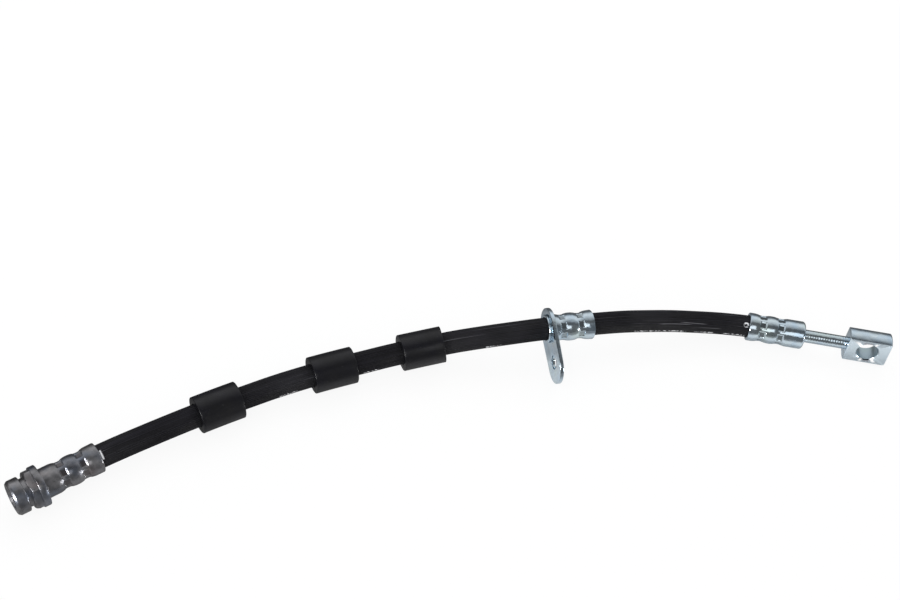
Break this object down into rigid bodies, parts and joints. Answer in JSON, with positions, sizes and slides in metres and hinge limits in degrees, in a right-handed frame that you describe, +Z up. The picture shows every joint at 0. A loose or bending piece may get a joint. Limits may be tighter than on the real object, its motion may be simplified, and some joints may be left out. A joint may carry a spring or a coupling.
{
  "type": "brake hose",
  "caption": "Rubber brake hose with a crimped female end, bumper sleeves, a bracket with a bolt tab, and a banjo end.",
  "frame": {"origin": "bottom centre of the box around the fittings, bracket and sleeves, on the table that the hose lies on", "axes": "+X along the hose from the female end towards the banjo end, +Z up from the table, +Y away from the side that the bracket tab reaches to"},
  "size_m": [0.3979, 0.1271, 0.0245],
  "materials": {
    "hose_rubber": "satin",
    "sleeve_rubber": "matt",
    "dark_steel": "satin",
    "zinc_steel": "bright zinc plate"
  },
  "bodies": {
    "root": {"hose": "hose_rubber", "female_end_fitting": "dark_steel", "bumper_sleeve_1": "sleeve_rubber", "bumper_sleeve_2": "sleeve_rubber", "bumper_sleeve_3": "sleeve_rubber", "bracket_ferrule": "zinc_steel", "bracket_plate": "zinc_steel", "banjo_ferrule": "zinc_steel", "banjo_fitting": "zinc_steel"}
  },
  "joints": []
}
